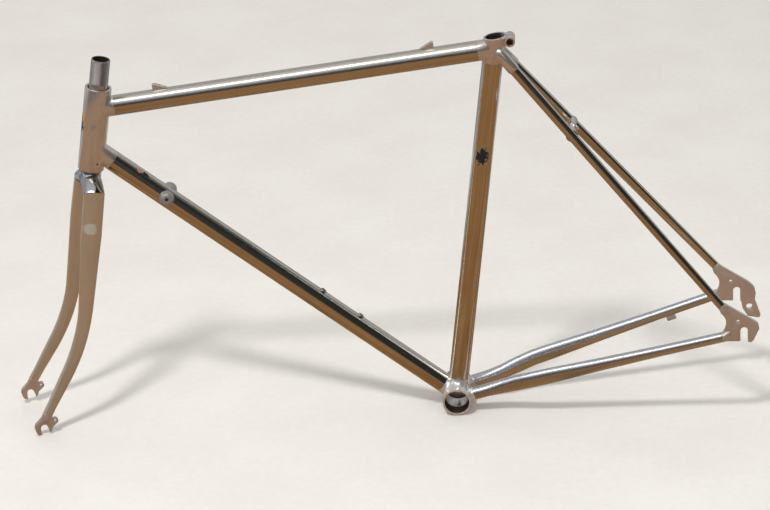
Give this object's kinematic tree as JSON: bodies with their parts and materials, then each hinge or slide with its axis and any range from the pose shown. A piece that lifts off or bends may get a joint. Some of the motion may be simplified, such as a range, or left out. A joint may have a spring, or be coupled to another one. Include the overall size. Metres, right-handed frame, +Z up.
{
  "type": "bicycle frame",
  "caption": "Bare road bicycle frame and fork in polished bonded aluminium, with horizontal axle slots open below, lever bosses on the down tube and a split seat lug with its clamp bolt.",
  "frame": {"origin": "bottom centre of the bounding box of the frame as it stands on its bottom bracket shell and its fork ends", "axes": "+X to the front of the bicycle, +Y to the rider's left, +Z up; the fork is turned a little to the left"},
  "size_m": [1.059, 0.153, 0.5498],
  "materials": {
    "aluminium_tube": "polished tube with a light brushed grain, scuffs and smudges",
    "cast_aluminium": "cast and polished lugs, slightly duller than the tubes",
    "polished_crown": "mirror polished",
    "steel": "bare turned steel, darker than the aluminium",
    "dark_steel": "blackened screw steel",
    "steel_insert": "plated insert",
    "satin_boss": "matte grey turned aluminium"
  },
  "bodies": {
    "frame": {"bottle_boss_lower": "steel_insert", "bottle_boss_upper": "steel_insert", "bottom_bracket_shell": "cast_aluminium", "brake_bridge": "cast_aluminium", "chainstay_cable_stop": "cast_aluminium", "chainstay_left": "aluminium_tube", "chainstay_right": "aluminium_tube", "down_tube": "aluminium_tube", "dropout_left": "cast_aluminium", "dropout_right": "cast_aluminium", "head_tube": "cast_aluminium", "seat_binder_bolt": "dark_steel", "seat_binder_nut": "dark_steel", "seat_lug": "cast_aluminium", "seat_tube": "aluminium_tube", "seatstay_left": "aluminium_tube", "seatstay_right": "aluminium_tube", "shift_boss_left": "satin_boss", "shift_boss_right": "satin_boss", "top_cable_stop_front": "cast_aluminium", "top_cable_stop_rear": "cast_aluminium", "top_tube": "aluminium_tube"},
    "fork": {"crown_race": "steel", "fork_blade_left": "aluminium_tube", "fork_blade_right": "aluminium_tube", "fork_crown": "polished_crown", "fork_end_left": "cast_aluminium", "fork_end_right": "cast_aluminium", "steerer_tube": "steel"}
  },
  "joints": [
    {"name": "steering", "type": "hinge", "parent": "frame", "child": "fork", "pos_m": [0.38937, 0, 0.37458], "axis": [-0.1757, 0, 0.9844], "continuous": true}
  ]
}
